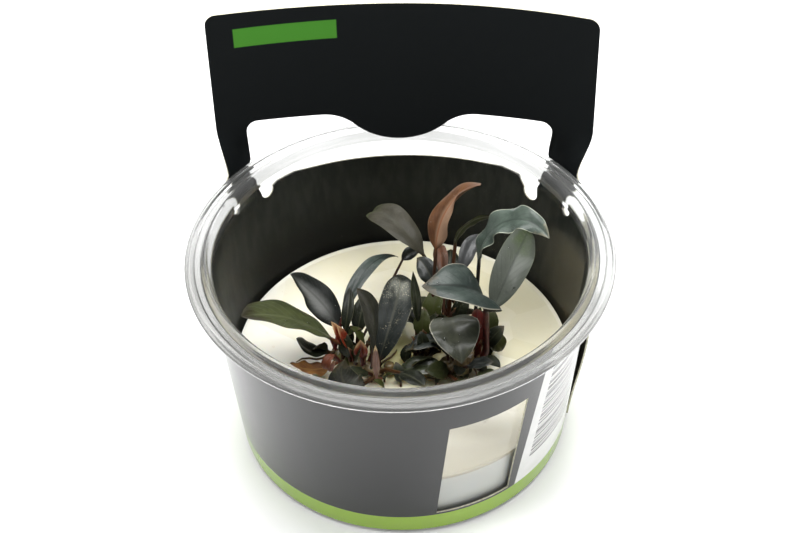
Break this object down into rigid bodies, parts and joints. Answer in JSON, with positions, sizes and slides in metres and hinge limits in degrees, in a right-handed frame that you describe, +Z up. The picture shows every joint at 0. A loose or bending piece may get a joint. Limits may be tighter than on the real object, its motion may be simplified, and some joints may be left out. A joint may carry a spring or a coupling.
{
  "type": "potted aquarium plant in a culture cup",
  "caption": "Small dark-leaved aquarium plants growing on set gel in a clear round cup, with a black card sleeve that rises at the back as a hanger header.",
  "frame": {"origin": "centre of the cup's flat base, on the floor", "axes": "+Z up through the cup's axis; -Y is the cup's front, facing the picture's viewer; the header stands at the back, towards +Y; +X is the viewer's right"},
  "size_m": [0.1, 0.1, 0.0961],
  "materials": {
    "clear_cup": "clear, glossy",
    "black_card": "glossy black print, dark inner face",
    "culture_gel": "moist, soft sheen",
    "creeping_stem": "ringed, rough",
    "slate_leaf": "leathery leaf with a soft gloss",
    "black_green_leaf": "leathery leaf with a soft gloss",
    "blue_grey_leaf": "leathery leaf with a soft gloss",
    "grey_green_leaf": "leathery leaf with a soft gloss",
    "olive_leaf": "leathery leaf with a soft gloss",
    "violet_leaf": "leathery leaf with a soft gloss",
    "brown_leaf": "leathery leaf with a soft gloss",
    "pink_bract": "thin sheath with a soft gloss",
    "orange_sheath": "thin sheath with a soft gloss",
    "red_sheath": "thin sheath with a soft gloss",
    "dead_leaf": "dry, matt"
  },
  "bodies": {
    "root": {"cup": "clear_cup", "culture_gel": "culture_gel", "carton": "black_card", "left_creeping_stem": "creeping_stem", "middle_creeping_stem": "creeping_stem", "right_creeping_stem": "creeping_stem", "olive_leaf": "olive_leaf", "glossy_leaf": "black_green_leaf", "arching_leaf": "blue_grey_leaf", "narrow_leaf": "black_green_leaf", "folded_leaf": "slate_leaf", "broad_slate_leaf": "slate_leaf", "small_under_leaf": "black_green_leaf", "dead_leaf": "dead_leaf", "front_curled_leaf": "slate_leaf", "thread_stalk_leaf": "blue_grey_leaf", "inner_arching_leaf": "slate_leaf", "front_low_leaf": "olive_leaf", "rear_low_leaf": "black_green_leaf", "curled_sheath": "orange_sheath", "orange_sheath_1": "orange_sheath", "orange_sheath_2": "orange_sheath", "red_sheath": "orange_sheath", "pink_bract": "pink_bract", "brown_twisted_leaf": "brown_leaf", "small_brown_leaf": "brown_leaf", "pale_rear_leaf": "olive_leaf", "dark_rear_leaf": "slate_leaf", "violet_leaf": "violet_leaf", "edge_on_leaf": "olive_leaf", "upright_olive_leaf": "olive_leaf", "shaded_green_leaf": "black_green_leaf", "grey_low_leaf": "slate_leaf", "rear_leaf": "black_green_leaf", "inner_leaf": "black_green_leaf", "low_front_leaf": "olive_leaf", "glossy_front_leaf": "blue_grey_leaf", "broad_blue_leaf": "blue_grey_leaf", "wavy_leaf": "grey_green_leaf", "tall_slate_leaf": "grey_green_leaf", "round_leaf": "black_green_leaf", "small_slate_leaf": "slate_leaf", "hidden_front_leaf_1": "olive_leaf", "hidden_front_leaf_2": "olive_leaf", "red_stem_sheath": "red_sheath"}
  },
  "joints": []
}
